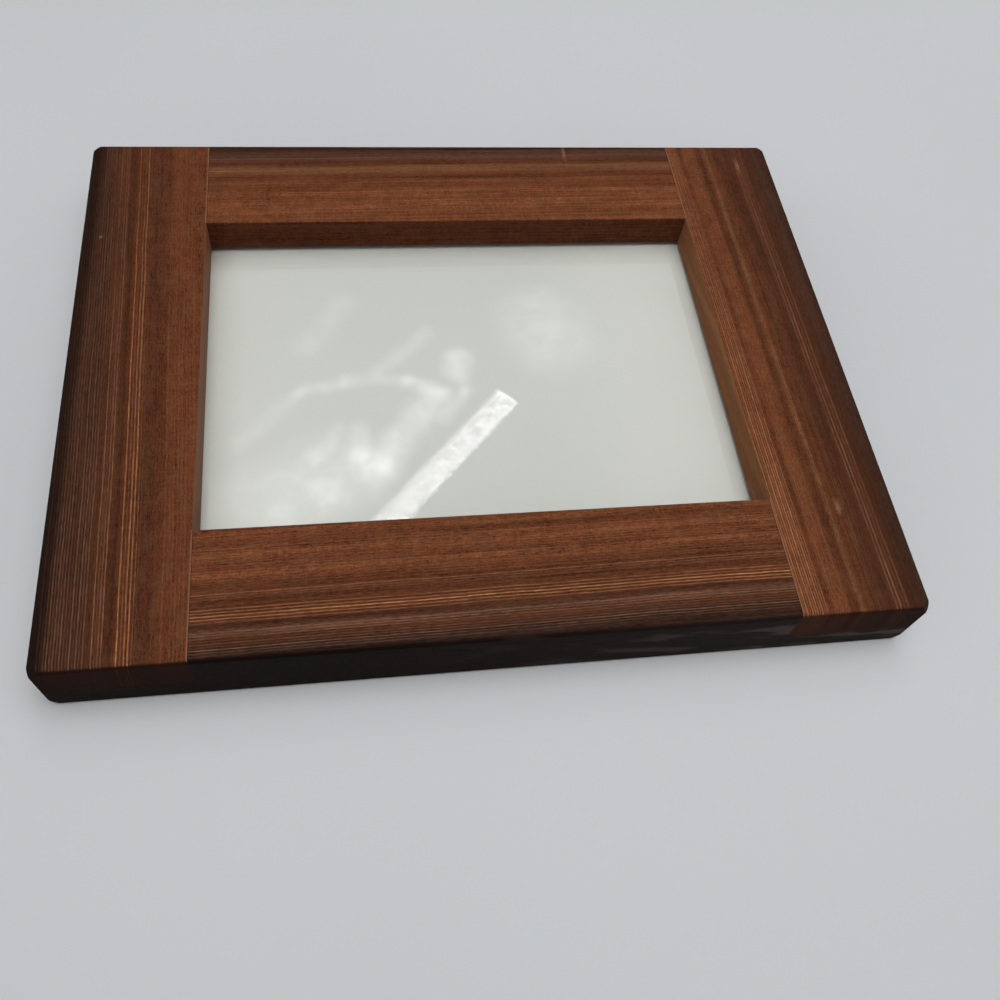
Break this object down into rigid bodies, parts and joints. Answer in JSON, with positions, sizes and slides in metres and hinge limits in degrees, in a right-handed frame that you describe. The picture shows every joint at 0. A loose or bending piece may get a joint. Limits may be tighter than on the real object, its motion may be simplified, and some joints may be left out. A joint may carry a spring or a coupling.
{
  "type": "picture frame",
  "caption": "Wooden picture frame with half-lapped corners, a glazed rebate, and a backing board held by turn buttons; hangs on a sawtooth hanger or lies flat.",
  "frame": {"origin": "middle of the frame's back, on the plane that it lies on", "axes": "+X along the rails to the right, +Y up the picture from the bottom rail to the top rail, +Z from the back to the face"},
  "size_m": [0.248, 0.196, 0.024],
  "materials": {
    "stile_wood": "dark red-brown straight-grained softwood under a satin to glossy varnish",
    "rail_wood": "the same wood as the stiles, grain along the rail, under the same varnish",
    "glass": "clear polished picture glass",
    "paper": "plain pale matt sheet",
    "card": "grey-brown matt card",
    "hardboard": "brown hardboard, smooth side out",
    "brass_plate": "brass-plated steel, lightly worn",
    "screw_brass": "brass-plated steel screw",
    "zinc_plate": "zinc-plated steel strip",
    "nail_steel": "bright steel nail"
  },
  "bodies": {
    "frame": {"left_stile": "stile_wood", "right_stile": "stile_wood", "top_rail": "rail_wood", "bottom_rail": "rail_wood", "glass_pane": "glass", "print_sheet": "paper", "filler_board": "card", "backing_board": "hardboard", "button_screw_top_left": "screw_brass", "button_screw_top_right": "screw_brass", "button_screw_bottom_left": "screw_brass", "button_screw_bottom_right": "screw_brass", "sawtooth_hanger": "zinc_plate", "hanger_nail_left": "nail_steel", "hanger_nail_right": "nail_steel"},
    "button_top_left": {"turn_button_top_left": "brass_plate"},
    "button_top_right": {"turn_button_top_right": "brass_plate"},
    "button_bottom_left": {"turn_button_bottom_left": "brass_plate"},
    "button_bottom_right": {"turn_button_bottom_right": "brass_plate"}
  },
  "joints": [
    {"name": "button_turn_top_left", "type": "hinge", "parent": "frame", "child": "button_top_left", "pos_m": [-0.055, 0.0729, 0.0028], "axis": [0, 0, 1], "continuous": true},
    {"name": "button_turn_top_right", "type": "hinge", "parent": "frame", "child": "button_top_right", "pos_m": [0.055, 0.0729, 0.0028], "axis": [0, 0, 1], "continuous": true},
    {"name": "button_turn_bottom_left", "type": "hinge", "parent": "frame", "child": "button_bottom_left", "pos_m": [-0.055, -0.0729, 0.0028], "axis": [0, 0, 1], "continuous": true},
    {"name": "button_turn_bottom_right", "type": "hinge", "parent": "frame", "child": "button_bottom_right", "pos_m": [0.055, -0.0729, 0.0028], "axis": [0, 0, 1], "continuous": true}
  ]
}
